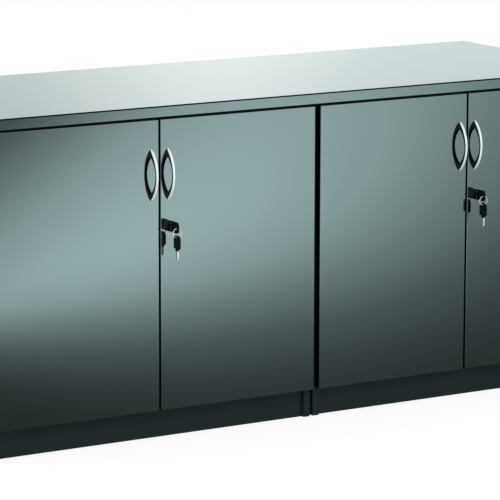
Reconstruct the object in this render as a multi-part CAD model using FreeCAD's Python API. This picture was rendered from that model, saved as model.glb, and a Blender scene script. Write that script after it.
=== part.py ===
import FreeCAD, Part
import math
import os

from FreeCAD import Vector

# Office credenza: two two-door cupboards side by side under one full-length worktop.
# Millimetres, +Z up, +X to the right as seen from the front, +Y to the back.
# The origin is on the floor, at the middle of the room that the whole object takes, keys included.
#
# Everything in a cupboard is drawn in that cupboard's own frame: x = 0 is its left outer face,
# y = 0 is the front edge of its sides and z = 0 is the floor. Pieces of a door hung on the right
# are those of a door hung on the left, mirrored about the cupboard's middle.

# ---- worktop ----
WORKTOP_LENGTH = 1600.0
WORKTOP_DEPTH = 600.0
WORKTOP_THICKNESS = 25.0
WORKTOP_EDGE_RADIUS = 2.0
OVERALL_HEIGHT = 725.0
END_OVERHANG = 12.0

# ---- cupboard boards ----
CUPBOARD_SPACING = 8.0
BOARD_THICKNESS = 16.0
BACK_THICKNESS = 8.0
BACK_INSET = 12.0
BACK_GROOVE_DEPTH = 6.0
PLINTH_HEIGHT = 62.0
PLINTH_RECESS = 8.0
RAIL_DEPTH = 90.0
SHELF_THICKNESS = 18.0
SHELF_FRONT_SETBACK = 25.0
SHELF_PLAY = 1.0

# ---- doors ----
DOOR_THICKNESS = 18.0
DOOR_EDGE_RADIUS = 1.0
DOOR_SETBACK = 1.0
DOOR_CLEARANCE = 3.0
DOOR_REVEAL = 3.0
DOOR_PAIR_GAP = 4.5
DOOR_LIFT = 65.0
SHADOW_GAP = 4.0

# ---- rows of peg holes and shelf pegs ----
PEG_RADIUS = 2.5
PEG_HOLE_DEPTH = 10.0
PEG_PITCH = 32.0
PEG_HOLES_PER_ROW = 9
PEG_ROW_INSET = 37.0
PEG_LEDGE_LENGTH = 9.0
PEG_LEDGE_WIDTH = 12.0
PEG_LEDGE_THICKNESS = 5.0

# ---- concealed hinges ----
HINGE_END_DISTANCE = 90.0
CUP_RADIUS = 17.5
CUP_DEPTH = 13.5
CUP_WALL = 1.0
CUP_EDGE_DISTANCE = 3.0
CUP_FLANGE_THICKNESS = 1.2
CUP_FLANGE_LIP = 1.0
CUP_EAR_SPACING = 45.0
CUP_EAR_SHIFT = 9.5
CUP_EAR_RADIUS = 6.5
HINGE_PIN_RADIUS = 1.2
KNUCKLE_WALL = 1.1
KNUCKLE_WIDTH = 9.0
KNUCKLE_SIDE_PLAY = 1.2
KNUCKLE_FLOOR_PLAY = 0.4
LUG_PLAY = 0.4
LUG_THICKNESS = 2.5
RUNNING_CLEARANCE = 0.05
ARM_THICKNESS = 2.4
ARM_BEND_RADIUS = 1.6
ARM_CHANNEL_WIDTH = 17.0
ARM_CHANNEL_DEPTH = 5.0
ARM_CHANNEL_WALL = 1.6
ARM_CHANNEL_PLAY = 0.3
ARM_CHANNEL_START = 3.0
ARM_TAPER_LENGTH = 9.0
ARM_CORNER_RADIUS = 4.0
ARM_REACH = 64.0
PLATE_HEIGHT = 7.3
PLATE_BASE_THICKNESS = 2.0
PLATE_BASE_WIDTH = 18.0
PLATE_BASE_HEIGHT = 48.0
PLATE_RAIL_LENGTH = 46.0
PLATE_CORNER_RADIUS = 4.0
PLATE_SPIGOT_RADIUS = 2.5
PLATE_SPIGOT_LENGTH = 10.0

# ---- bow handles ----
HANDLE_LENGTH = 111.5
HANDLE_PROJECTION = 27.0
HANDLE_OPENING_LENGTH = 80.5
HANDLE_BOW_THICKNESS = 5.0
HANDLE_TIP_WIDTH = 2.4
HANDLE_FOOT_WIDTH = 6.6
HANDLE_MIDDLE_WIDTH = 5.5
HANDLE_EDGE_RADIUS = 0.9
HANDLE_EDGE_DISTANCE = 18.0
HANDLE_DROP = 118.0
HANDLE_SCREW_SPACING = 96.0
HANDLE_SCREW_RADIUS = 2.0
HANDLE_SCREW_BITE = 5.0
HANDLE_SCREW_HOLE_PLAY = 0.3
SCREW_HEAD_RADIUS = 4.2
SCREW_HEAD_HEIGHT = 2.2

# ---- locks ----
LOCK_EDGE_DISTANCE = 22.0
LOCK_DROP = 112.0
LOCK_RIM_RADIUS = 10.0
LOCK_RIM_PROUD = 5.0
LOCK_RIM_CHAMFER = 1.0
LOCK_BARREL_RADIUS = 8.0
LOCK_NUT_ACROSS_FLATS = 21.0
LOCK_NUT_THICKNESS = 4.0
LOCK_TAIL = 1.2
PLUG_RADIUS = 6.2
PLUG_HEAD_RADIUS = 7.2
PLUG_HEAD_DEPTH = 3.0
PLUG_RECESS = 0.6
PLUG_SQUARE = 7.0
PLUG_END_RADIUS = 4.8
PLUG_END_THICKNESS = 1.2
CAM_THICKNESS = 2.5
CAM_REACH = 36.0
CAM_WIDTH = 14.0
CAM_HUB_RADIUS = 9.0
CAM_RUB_GAP = 0.3
CAM_DOOR_GAP = 1.5
CAM_CRANK_START = 13.0
CAM_CRANK_LENGTH = 6.0
CAM_CORNER_RADIUS = 3.5

# ---- keys and rings ----
KEY_WIDTH = 24.0
KEY_HEAD_LENGTH = 28.5
KEY_HEAD_THICKNESS = 4.5
KEY_BOW_RADIUS = 8.0
KEY_SHOULDER_RADIUS = 3.0
KEY_HOLE_RADIUS = 2.5
KEY_HOLE_INSET = 5.5
KEY_EDGE_RADIUS = 0.8
KEY_NECK_LENGTH = 4.2
KEY_NECK_WIDTH = 9.5
KEY_NECK_THICKNESS = 3.6
KEY_BLADE_LENGTH = 20.0
KEY_BLADE_WIDTH = 6.5
KEY_BLADE_THICKNESS = 2.2
KEY_TANG_LENGTH = 12.0
KEY_DEEP_CUT = 1.6
KEY_SHALLOW_CUT = 0.8
KEY_CUT_COUNT = 4
KEY_CUT_PITCH = 3.3
KEY_CUT_MOUTH = 2.2
KEYWAY_CLEARANCE = 0.15
KEY_SEAT_GAP = 0.1
RING_RADIUS = 10.0
RING_WIRE_RADIUS = 0.8
RING_HANG = 1.0

# ---- slide bolts ----
BOLT_EDGE_DISTANCE = 35.0
BOLT_RADIUS = 3.0
BOLT_LENGTH = 70.0
BOLT_STANDOFF = 10.0
BOLT_STRIKE_GAP = 2.0
BOLT_CLEARANCE = 0.1
BOLT_TRAVEL = 12.0
BOLT_PLATE_WIDTH = 22.0
BOLT_PLATE_LENGTH = 60.0
BOLT_PLATE_THICKNESS = 1.5
BOLT_GUIDE_LENGTH = 12.0
BOLT_GUIDE_WALL = 2.0
BOLT_CORNER_RADIUS = 3.0
BOLT_KNOB_RADIUS = 4.0
BOLT_KNOB_LENGTH = 8.0
STRIKE_THICKNESS = 2.0
STRIKE_WIDTH = 24.0
STRIKE_DEPTH = 25.0
STRIKE_HOLE_PLAY = 1.5
STRIKE_SOCKET_SPARE = 2.0

# ---- small fittings ----
BUFFER_RADIUS = 4.0
BUFFER_DOOR_GAP = 0.4
BUFFER_EDGE_DISTANCE = 60.0
RAIL_SCREW_RADIUS = 2.0
RAIL_SCREW_BITE = 14.0
RAIL_SCREW_END_DISTANCE = 120.0

# ---- places that follow from the sizes above ----
cupboard_width = (WORKTOP_LENGTH - 2 * END_OVERHANG - CUPBOARD_SPACING) / 2
worktop_underside = OVERALL_HEIGHT - WORKTOP_THICKNESS
rail_underside = worktop_underside - BOARD_THICKNESS

door_back = -DOOR_CLEARANCE
door_front = door_back - DOOR_THICKNESS
door_width = (cupboard_width - 2 * DOOR_REVEAL - DOOR_PAIR_GAP) / 2
door_outer_edge = DOOR_REVEAL
door_free_edge = DOOR_REVEAL + door_width
door_top = worktop_underside - SHADOW_GAP

side_depth = WORKTOP_DEPTH - DOOR_SETBACK - DOOR_THICKNESS - DOOR_CLEARANCE
back_front = side_depth - BACK_INSET - BACK_THICKNESS
floor_of_cupboard = PLINTH_HEIGHT + BOARD_THICKNESS

handle_x = door_free_edge - HANDLE_EDGE_DISTANCE
handle_height = door_top - HANDLE_DROP
lock_x = door_free_edge - LOCK_EDGE_DISTANCE
lock_height = handle_height - LOCK_DROP
lock_front = door_front - LOCK_RIM_PROUD
lock_end = door_back + LOCK_NUT_THICKNESS + LOCK_TAIL
plug_front = lock_front + PLUG_RECESS
key_head_end = plug_front - KEY_SEAT_GAP - KEY_NECK_LENGTH
key_hole_y = key_head_end - KEY_HEAD_LENGTH + KEY_HOLE_INSET
ring_centre_z = lock_height - RING_HANG - RING_RADIUS
spare_hole_z = ring_centre_z - RING_RADIUS - RING_HANG

hinge_heights = (DOOR_LIFT + HINGE_END_DISTANCE, door_top - HINGE_END_DISTANCE)
knuckle_radius = HINGE_PIN_RADIUS + KNUCKLE_WALL
cup_x = door_outer_edge + CUP_EDGE_DISTANCE + CUP_RADIUS
pin_x = door_outer_edge + CUP_EDGE_DISTANCE + CUP_WALL + KNUCKLE_SIDE_PLAY + knuckle_radius
pin_y = door_back - CUP_DEPTH + CUP_WALL + KNUCKLE_FLOOR_PLAY + knuckle_radius
lug_inner = KNUCKLE_WIDTH / 2 + LUG_PLAY
arm_face_x = BOARD_THICKNESS + PLATE_HEIGHT

bolt_x = door_free_edge - BOLT_EDGE_DISTANCE
bolt_y = door_back + BOLT_STANDOFF
bolt_top = rail_underside - STRIKE_THICKNESS - BOLT_STRIKE_GAP
bolt_plate_top = bolt_top - BOLT_STRIKE_GAP

# The keys and handles stand in front of the worktop, and the origin is in the middle of the whole.
furthest_forward = max(HANDLE_PROJECTION, door_front - key_hole_y + max(KEY_WIDTH / 2, KEY_HOLE_INSET))
front_reach = furthest_forward - DOOR_SETBACK
worktop_front = (front_reach - WORKTOP_DEPTH) / 2
carcass_front = worktop_front + DOOR_SETBACK + DOOR_THICKNESS + DOOR_CLEARANCE
cupboard_origins = {
    "left": Vector(-CUPBOARD_SPACING / 2 - cupboard_width, carcass_front, 0),
    "right": Vector(CUPBOARD_SPACING / 2, carcass_front, 0),
}

# The axes of a drawing plane: its two directions, and the one it is pulled along.
PLANES = {
    "xy": (Vector(1, 0, 0), Vector(0, 1, 0), Vector(0, 0, 1)),
    "xz": (Vector(1, 0, 0), Vector(0, 0, 1), Vector(0, 1, 0)),
    "yz": (Vector(0, 1, 0), Vector(0, 0, 1), Vector(1, 0, 0)),
}
SHORTEST_EDGE = 1e-6
QUARTER_TURN = 90


def block(x_span, y_span, z_span):
    """Box between two values on each axis."""
    low = Vector(x_span[0], y_span[0], z_span[0])
    return Part.makeBox(x_span[1] - x_span[0], y_span[1] - y_span[0], z_span[1] - z_span[0], low)


def around(middle, width):
    """Span of a width about its middle."""
    return (middle - width / 2, middle + width / 2)


def rod(radius, start, end):
    """Round bar from one point to another."""
    along = end - start
    return Part.makeCylinder(radius, along.Length, start, along)


def rounded_prism(corners, plane, span):
    """Polygon of (u, v, corner radius), pulled along the plane's third axis over a span."""
    u_axis, v_axis, pull = PLANES[plane]
    points = [u_axis * u + v_axis * v + pull * span[0] for u, v, _ in corners]
    count = len(corners)
    turns = []
    for i, (_, _, radius) in enumerate(corners):
        corner = points[i]
        if radius == 0:
            turns.append((corner, corner, corner))
            continue
        before = (points[i - 1] - corner).normalize()
        after = (points[(i + 1) % count] - corner).normalize()
        half_angle = before.getAngle(after) / 2
        setback = radius / math.tan(half_angle)
        bulge = (before + after).normalize() * (radius / math.sin(half_angle) - radius)
        turns.append((corner + before * setback, corner + bulge, corner + after * setback))
    edges = []
    for i, (start, middle, end) in enumerate(turns):
        if (end - start).Length > SHORTEST_EDGE:
            edges.append(Part.Arc(start, middle, end).toShape())
        following = turns[(i + 1) % count][0]
        if (following - end).Length > SHORTEST_EDGE:
            edges.append(Part.LineSegment(end, following).toShape())
    return Part.Face(Part.Wire(edges)).extrude(pull * (span[1] - span[0]))


def rounded_plate(u_span, v_span, radius, plane, span):
    """Plate with four equal rounded corners."""
    corners = [(u_span[0], v_span[0]), (u_span[1], v_span[0]), (u_span[1], v_span[1]), (u_span[0], v_span[1])]
    return rounded_prism([(u, v, radius) for u, v in corners], plane, span)


def edges_square_to_x(shape):
    """Edges that lie in a plane of constant x."""
    return [edge for edge in shape.Edges if edge.BoundBox.XLength < SHORTEST_EDGE]


def mirrored(shape):
    """The same piece on the other side of its cupboard."""
    return shape.mirror(Vector(cupboard_width / 2, 0, 0), Vector(1, 0, 0))


# ---- boards of a cupboard ----

inner_span = (BOARD_THICKNESS, cupboard_width - BOARD_THICKNESS)
peg_rows = (PEG_ROW_INSET, back_front - PEG_ROW_INSET)
shelf_peg_height = (floor_of_cupboard + rail_underside) / 2
peg_heights = [shelf_peg_height + (i - PEG_HOLES_PER_ROW // 2) * PEG_PITCH for i in range(PEG_HOLES_PER_ROW)]
front_rail_span = (0, RAIL_DEPTH)
rear_rail_span = (back_front - RAIL_DEPTH, back_front)
shelf_underside = shelf_peg_height + PEG_RADIUS
plate_y = PEG_ROW_INSET


def spigot_heights(hinge_z):
    """A mounting plate's two spigots, one pitch of the peg rows apart."""
    return around(hinge_z, PEG_PITCH)


def side():
    """Left side, down to the floor: grooved for the back, drilled for shelf pegs and hinge plates."""
    board = block((0, BOARD_THICKNESS), (0, side_depth), (0, worktop_underside))
    groove = block(
        (BOARD_THICKNESS - BACK_GROOVE_DEPTH, BOARD_THICKNESS),
        (back_front, back_front + BACK_THICKNESS),
        (PLINTH_HEIGHT, worktop_underside),
    )
    cuts = [groove]
    for y in peg_rows:
        for z in peg_heights:
            hole_bottom = Vector(BOARD_THICKNESS - PEG_HOLE_DEPTH, y, z)
            cuts.append(rod(PEG_RADIUS, hole_bottom, Vector(BOARD_THICKNESS, y, z)))
    for hinge_z in hinge_heights:
        cuts += [plate_spigot(z) for z in spigot_heights(hinge_z)]
    return board.cut(cuts)


def bottom_panel():
    """Bottom of a cupboard, on its plinth boards and between its sides."""
    return block(inner_span, (0, back_front), (PLINTH_HEIGHT, floor_of_cupboard))


def back_panel():
    """Back of a cupboard, set into the grooves of both sides."""
    width = (inner_span[0] - BACK_GROOVE_DEPTH, inner_span[1] + BACK_GROOVE_DEPTH)
    return block(width, (back_front, back_front + BACK_THICKNESS), (PLINTH_HEIGHT, worktop_underside))


def plinth_boards():
    """Front and rear boards that carry the bottom panel; the front one is set back under the doors."""
    front = block(inner_span, (PLINTH_RECESS, PLINTH_RECESS + BOARD_THICKNESS), (0, PLINTH_HEIGHT))
    rear = block(inner_span, (back_front - BOARD_THICKNESS, back_front), (0, PLINTH_HEIGHT))
    return [front, rear]


def rail_screw_places():
    """Where the screws go up through the rails, in a cupboard's frame."""
    ends = (RAIL_SCREW_END_DISTANCE, cupboard_width - RAIL_SCREW_END_DISTANCE)
    middles = [sum(span) / 2 for span in (front_rail_span, rear_rail_span)]
    return [(x, y) for x in ends for y in middles]


def top_rails():
    """Front and rear rails under the worktop; the front one has the slide bolt's socket."""
    drillings = []
    for x, y in rail_screw_places():
        low_end = Vector(x, y, rail_underside)
        drillings.append(rod(RAIL_SCREW_RADIUS, low_end, Vector(x, y, worktop_underside)))
    socket_top = bolt_top + BOLT_TRAVEL + STRIKE_SOCKET_SPARE
    drillings.append(bolt_bar(BOLT_RADIUS + STRIKE_HOLE_PLAY, rail_underside, socket_top))
    spans = (front_rail_span, rear_rail_span)
    return [block(inner_span, span, (rail_underside, worktop_underside)).cut(drillings) for span in spans]


def shelf():
    """Adjustable shelf, loose on its four pegs."""
    width = (inner_span[0] + SHELF_PLAY, inner_span[1] - SHELF_PLAY)
    depth = (SHELF_FRONT_SETBACK, back_front - SHELF_PLAY)
    return block(width, depth, (shelf_underside, shelf_underside + SHELF_THICKNESS))


def shelf_pegs():
    """Peg in its hole with a ledge under the shelf, at the shelf's four corners."""
    pegs = []
    for y in peg_rows:
        hole_bottom = Vector(BOARD_THICKNESS - PEG_HOLE_DEPTH, y, shelf_peg_height)
        pin = rod(PEG_RADIUS, hole_bottom, Vector(BOARD_THICKNESS, y, shelf_peg_height))
        ledge = rounded_plate(
            (BOARD_THICKNESS, BOARD_THICKNESS + PEG_LEDGE_LENGTH),
            around(y, PEG_LEDGE_WIDTH),
            PEG_RADIUS,
            "xy",
            (shelf_underside - PEG_LEDGE_THICKNESS, shelf_underside),
        )
        peg = pin.fuse(ledge)
        pegs += [peg, mirrored(peg)]
    return pegs


# ---- screws ----


def pan_screw(seat, tip, radius):
    """Screw whose rounded head sits on the seat, on the side away from its tip."""
    outward = (seat - tip).normalize()
    shank = rod(radius, seat, tip)
    head = rod(SCREW_HEAD_RADIUS, seat, seat + outward * SCREW_HEAD_HEIGHT)
    rim = [edge for edge in head.Edges if (edge.CenterOfMass - seat).dot(outward) > SCREW_HEAD_HEIGHT / 2]
    round_rim = [edge for edge in rim if len(edge.Vertexes) == 1]
    return head.makeFillet(SCREW_HEAD_HEIGHT / 2, round_rim).fuse(shank)


def rail_screws():
    """Screws up through the rails into the worktop."""
    screws = []
    for x, y in rail_screw_places():
        tip = Vector(x, y, worktop_underside + RAIL_SCREW_BITE)
        screws.append(pan_screw(Vector(x, y, rail_underside), tip, RAIL_SCREW_RADIUS))
    return screws


# ---- doors ----


def handle_screw_heights():
    """Both screws of a handle."""
    return around(handle_height, HANDLE_SCREW_SPACING)


def door_panel(has_lock):
    """Door with rounded edges, bored for hinge cups and handle screws, and for a lock if it has one."""
    board = block((door_outer_edge, door_free_edge), (door_front, door_back), (DOOR_LIFT, door_top))
    board = board.makeFillet(DOOR_EDGE_RADIUS, board.Edges)
    bores = []
    for z in hinge_heights:
        bores.append(rod(CUP_RADIUS, Vector(cup_x, door_back - CUP_DEPTH, z), Vector(cup_x, door_back, z)))
    for z in handle_screw_heights():
        bore_radius = HANDLE_SCREW_RADIUS + HANDLE_SCREW_HOLE_PLAY
        bores.append(rod(bore_radius, Vector(handle_x, door_front, z), Vector(handle_x, door_back, z)))
    if has_lock:
        bores.append(lock_bar(LOCK_BARREL_RADIUS, door_front, door_back))
    return board.cut(bores)


def bow_handle():
    """Crescent between two arcs that stand on the door, narrow at its middle and pointed at its tips."""
    half = HANDLE_LENGTH / 2
    half_opening = HANDLE_OPENING_LENGTH / 2
    inner_rise = HANDLE_PROJECTION - HANDLE_BOW_THICKNESS

    def on_section(rise, height):
        return Vector(handle_x - HANDLE_FOOT_WIDTH, door_front - rise, handle_height + height)

    outer = Part.Arc(on_section(0, -half), on_section(HANDLE_PROJECTION, 0), on_section(0, half))
    inner = Part.Arc(on_section(0, half_opening), on_section(inner_rise, 0), on_section(0, -half_opening))
    upper_foot = Part.LineSegment(on_section(0, half), on_section(0, half_opening))
    lower_foot = Part.LineSegment(on_section(0, -half_opening), on_section(0, -half))
    section = Part.Wire([curve.toShape() for curve in (outer, upper_foot, inner, lower_foot)])
    crescent = Part.Face(section).extrude(Vector(2 * HANDLE_FOOT_WIDTH, 0, 0))

    def on_front(side_sign, width, height):
        front = door_front - HANDLE_PROJECTION
        return Vector(handle_x + side_sign * width / 2, front, handle_height + height)

    half_spacing = HANDLE_SCREW_SPACING / 2
    stations = [
        (HANDLE_TIP_WIDTH, -half),
        (HANDLE_FOOT_WIDTH, -half_spacing),
        (HANDLE_MIDDLE_WIDTH, 0),
        (HANDLE_FOOT_WIDTH, half_spacing),
        (HANDLE_TIP_WIDTH, half),
    ]
    outline = []
    for sign in (-1, 1):
        points = [on_front(sign, width, height) for width, height in stations]
        upright = [Vector(0, 0, 1)] * len(points)
        flank = Part.BSplineCurve()
        flank.interpolate(Points=points, Tangents=upright, TangentFlags=[False, True, True, True, False])
        outline.append(flank)
    for height in (-half, half):
        tips = [on_front(sign, HANDLE_TIP_WIDTH, height) for sign in (-1, 1)]
        outline.append(Part.LineSegment(tips[0], tips[1]))
    outline = Part.Wire(Part.__sortEdges__([curve.toShape() for curve in outline]))
    waisted = Part.Face(outline).extrude(Vector(0, HANDLE_PROJECTION, 0))
    bow = crescent.common(waisted)
    standing = [edge for edge in bow.Edges if edge.BoundBox.ZLength > HANDLE_OPENING_LENGTH / 2]
    rounded = bow.makeFillet(HANDLE_EDGE_RADIUS, standing)
    return rounded.cut([handle_screw(z) for z in handle_screw_heights()])


def handle_screw(z):
    """Screw through the door into a foot of its handle."""
    tip = Vector(handle_x, door_front - HANDLE_SCREW_BITE, z)
    return pan_screw(Vector(handle_x, door_back, z), tip, HANDLE_SCREW_RADIUS)


def buffers():
    """Soft domes on the cupboard's front edges, where the free corners of a door come to rest."""
    domes = []
    for z in ((PLINTH_HEIGHT + DOOR_LIFT + BOARD_THICKNESS) / 2, (door_top + rail_underside) / 2):
        seat = Vector(door_free_edge - BUFFER_EDGE_DISTANCE, 0, z)
        height = DOOR_CLEARANCE - BUFFER_DOOR_GAP
        dome = rod(BUFFER_RADIUS, seat, seat - Vector(0, height, 0))
        rim = [edge for edge in dome.Edges if edge.CenterOfMass.y < -height / 2 and len(edge.Vertexes) == 1]
        domes.append(dome.makeFillet(height / 2, rim))
    return domes


# ---- concealed hinges ----


def hinge_cup(z):
    """Cup sunk in the door's back: flange with two ears, hollow, and two lugs that hold the pin."""
    bottom = door_back - CUP_DEPTH
    rim = door_back + CUP_FLANGE_THICKNESS
    hollow_bottom = bottom + CUP_WALL
    ear_x = cup_x + CUP_EAR_SHIFT
    ear_length = CUP_EAR_SPACING + 2 * CUP_EAR_RADIUS
    ears = rounded_plate(
        around(ear_x, 2 * CUP_EAR_RADIUS), around(z, ear_length), CUP_EAR_RADIUS, "xz", (door_back, rim)
    )
    drum = rod(CUP_RADIUS, Vector(cup_x, bottom, z), Vector(cup_x, door_back, z))
    flange = rod(CUP_RADIUS + CUP_FLANGE_LIP, Vector(cup_x, door_back, z), Vector(cup_x, rim, z))
    hollow = rod(CUP_RADIUS - CUP_WALL, Vector(cup_x, hollow_bottom, z), Vector(cup_x, rim, z))
    lugs = []
    for sign in (-1, 1):
        ends = sorted((z + sign * lug_inner, z + sign * (lug_inner + LUG_THICKNESS)))
        foot = block((cup_x - CUP_RADIUS, pin_x + knuckle_radius), (hollow_bottom, pin_y), ends)
        eye = rod(knuckle_radius, Vector(pin_x, pin_y, ends[0]), Vector(pin_x, pin_y, ends[1]))
        lugs.append(foot.fuse(eye).common(hollow))
    cup = drum.fuse([flange, ears]).cut(hollow).fuse(lugs)
    return cup.cut(pin_bar(z, HINGE_PIN_RADIUS + RUNNING_CLEARANCE))


def pin_bar(z, radius):
    """Round bar on a hinge's axis, as long as its pin."""
    half = lug_inner + LUG_THICKNESS
    return rod(radius, Vector(pin_x, pin_y, z - half), Vector(pin_x, pin_y, z + half))


def hinge_arm(z):
    """Arm that hooks round the pin inside the cup and runs back as a channel over its plate."""
    outer_x = arm_face_x + ARM_THICKNESS
    front = pin_y - ARM_THICKNESS / 2
    rear = pin_y + ARM_THICKNESS / 2
    hook = rounded_prism(
        [
            (pin_x, front, 0),
            (outer_x, front, ARM_BEND_RADIUS + ARM_THICKNESS),
            (outer_x, ARM_CHANNEL_START, 0),
            (arm_face_x, ARM_CHANNEL_START, 0),
            (arm_face_x, rear, ARM_BEND_RADIUS),
            (pin_x, rear, 0),
        ],
        "xy",
        around(z, KNUCKLE_WIDTH),
    )
    half_neck = KNUCKLE_WIDTH / 2
    half_web = ARM_CHANNEL_WIDTH / 2
    full_width_from = ARM_CHANNEL_START + ARM_TAPER_LENGTH
    web = rounded_prism(
        [
            (ARM_CHANNEL_START, z - half_neck, 0),
            (full_width_from, z - half_web, 0),
            (ARM_REACH, z - half_web, ARM_CORNER_RADIUS),
            (ARM_REACH, z + half_web, ARM_CORNER_RADIUS),
            (full_width_from, z + half_web, 0),
            (ARM_CHANNEL_START, z + half_neck, 0),
        ],
        "yz",
        (arm_face_x, outer_x),
    )
    walls = []
    for sign in (-1, 1):
        faces = sorted((z + sign * half_web, z + sign * (half_web - ARM_CHANNEL_WALL)))
        length = (full_width_from, ARM_REACH - ARM_CORNER_RADIUS)
        walls.append(block((arm_face_x - ARM_CHANNEL_DEPTH, outer_x), length, faces))
    ends = around(z, KNUCKLE_WIDTH)
    knuckle = rod(knuckle_radius, Vector(pin_x, pin_y, ends[0]), Vector(pin_x, pin_y, ends[1]))
    return hook.fuse([knuckle, web] + walls).cut(pin_bar(z, HINGE_PIN_RADIUS))


def plate_spigot(z):
    """Spigot of a mounting plate, in its hole in the side."""
    hole_bottom = Vector(BOARD_THICKNESS - PLATE_SPIGOT_LENGTH, plate_y, z)
    return rod(PLATE_SPIGOT_RADIUS, hole_bottom, Vector(BOARD_THICKNESS, plate_y, z))


def hinge_plate(z):
    """Mounting plate on the side: winged base, spigots, and the rail that the arm sits on."""
    base = rounded_plate(
        around(plate_y, PLATE_BASE_WIDTH),
        around(z, PLATE_BASE_HEIGHT),
        PLATE_CORNER_RADIUS,
        "yz",
        (BOARD_THICKNESS, BOARD_THICKNESS + PLATE_BASE_THICKNESS),
    )
    rail_width = ARM_CHANNEL_WIDTH - 2 * (ARM_CHANNEL_WALL + ARM_CHANNEL_PLAY)
    rail = block(
        (BOARD_THICKNESS, arm_face_x), (ARM_REACH - PLATE_RAIL_LENGTH, ARM_REACH), around(z, rail_width)
    )
    return base.fuse([rail] + [plate_spigot(height) for height in spigot_heights(z)])


# ---- locks and keys ----


def lock_bar(radius, start_y, end_y):
    """Round bar on the lock's axis."""
    return rod(radius, Vector(lock_x, start_y, lock_height), Vector(lock_x, end_y, lock_height))


def lock_case():
    """Threaded barrel through the door with a rim in front, bored for the plug."""
    rim = lock_bar(LOCK_RIM_RADIUS, lock_front, door_front)
    front_edges = [edge for edge in rim.Edges if edge.CenterOfMass.y < door_front - LOCK_RIM_PROUD / 2]
    rim = rim.makeChamfer(LOCK_RIM_CHAMFER, [edge for edge in front_edges if len(edge.Vertexes) == 1])
    barrel = lock_bar(LOCK_BARREL_RADIUS, door_front, lock_end)
    bore = lock_bar(PLUG_RADIUS + RUNNING_CLEARANCE, lock_front, lock_end)
    counterbore = lock_bar(PLUG_HEAD_RADIUS + RUNNING_CLEARANCE, lock_front, plug_front + PLUG_HEAD_DEPTH)
    return rim.fuse(barrel).cut([bore, counterbore])


def lock_nut():
    """Hexagonal nut that clamps the lock from behind the door."""
    corner_radius = LOCK_NUT_ACROSS_FLATS / 2 / math.cos(math.pi / 6)
    corners = []
    for i in range(6):
        angle = math.pi / 3 * i
        x = lock_x + corner_radius * math.cos(angle)
        corners.append((x, lock_height + corner_radius * math.sin(angle), 0))
    nut = rounded_prism(corners, "xz", (door_back, door_back + LOCK_NUT_THICKNESS))
    return nut.cut(lock_bar(LOCK_BARREL_RADIUS, door_back, door_back + LOCK_NUT_THICKNESS))


def lock_plug():
    """Plug that turns with the key: head, keyway, and a square tail peened over the cam."""
    head = lock_bar(PLUG_HEAD_RADIUS, plug_front, plug_front + PLUG_HEAD_DEPTH)
    body = lock_bar(PLUG_RADIUS, plug_front, lock_end)
    cam_rear = lock_end + CAM_RUB_GAP + CAM_THICKNESS
    tail = block(around(lock_x, PLUG_SQUARE), (lock_end, cam_rear), around(lock_height, PLUG_SQUARE))
    peened_end = lock_bar(PLUG_END_RADIUS, cam_rear, cam_rear + PLUG_END_THICKNESS)
    keyway = block(
        around(lock_x, KEY_BLADE_THICKNESS + 2 * KEYWAY_CLEARANCE),
        (plug_front, plug_front + KEY_BLADE_LENGTH + KEYWAY_CLEARANCE),
        around(lock_height, KEY_BLADE_WIDTH + 2 * KEYWAY_CLEARANCE),
    )
    return head.fuse([body, tail, peened_end]).cut(keyway)


def lock_cam():
    """Flat cam on the plug's square, hanging down when unlocked, cranked towards the door's back."""
    hub_front = lock_end + CAM_RUB_GAP
    tip_front = door_back + CAM_DOOR_GAP
    crank_top = lock_height - CAM_CRANK_START
    crank_foot = crank_top - CAM_CRANK_LENGTH
    tip = lock_height - CAM_REACH
    top = lock_height + CAM_HUB_RADIUS
    section = [
        (hub_front, top, 0),
        (hub_front, crank_top, 0),
        (tip_front, crank_foot, 0),
        (tip_front, tip, 0),
        (tip_front + CAM_THICKNESS, tip, 0),
        (tip_front + CAM_THICKNESS, crank_foot, 0),
        (hub_front + CAM_THICKNESS, crank_top, 0),
        (hub_front + CAM_THICKNESS, top, 0),
    ]
    strip = rounded_prism(section, "yz", around(lock_x, 2 * CAM_HUB_RADIUS))
    depth = (tip_front, hub_front + CAM_THICKNESS)
    hub = lock_bar(CAM_HUB_RADIUS, depth[0], depth[1])
    tongue = rounded_plate(around(lock_x, CAM_WIDTH), (tip, lock_height), CAM_CORNER_RADIUS, "xz", depth)
    hole = block(around(lock_x, PLUG_SQUARE), depth, around(lock_height, PLUG_SQUARE))
    return strip.common(hub.fuse(tongue)).cut(hole)


key_head_low = KEY_HOLE_INSET - KEY_HEAD_LENGTH
key_blade_start = key_head_low - KEY_NECK_LENGTH


def key_tang():
    """Room that the blade takes inside the key's head."""
    return block(
        around(0, KEY_BLADE_THICKNESS),
        around(0, KEY_BLADE_WIDTH),
        (key_blade_start, key_blade_start + KEY_TANG_LENGTH),
    )


def key_head():
    """Moulded head of a key that hangs bow upwards, with the middle of its hole at the origin."""
    half = KEY_WIDTH / 2
    bow = rounded_prism(
        [
            (-half, key_head_low, KEY_SHOULDER_RADIUS),
            (half, key_head_low, KEY_SHOULDER_RADIUS),
            (half, KEY_HOLE_INSET, KEY_BOW_RADIUS),
            (-half, KEY_HOLE_INSET, KEY_BOW_RADIUS),
        ],
        "yz",
        around(0, KEY_HEAD_THICKNESS),
    )
    bow = bow.makeFillet(KEY_EDGE_RADIUS, edges_square_to_x(bow))
    neck_length = (key_blade_start, key_head_low + KEY_EDGE_RADIUS)
    neck = block(around(0, KEY_NECK_THICKNESS), around(0, KEY_NECK_WIDTH), neck_length)
    hole_ends = [Vector(x, 0, 0) for x in around(0, KEY_HEAD_THICKNESS)]
    return bow.fuse(neck).cut([rod(KEY_HOLE_RADIUS, hole_ends[0], hole_ends[1]), key_tang()])


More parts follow.
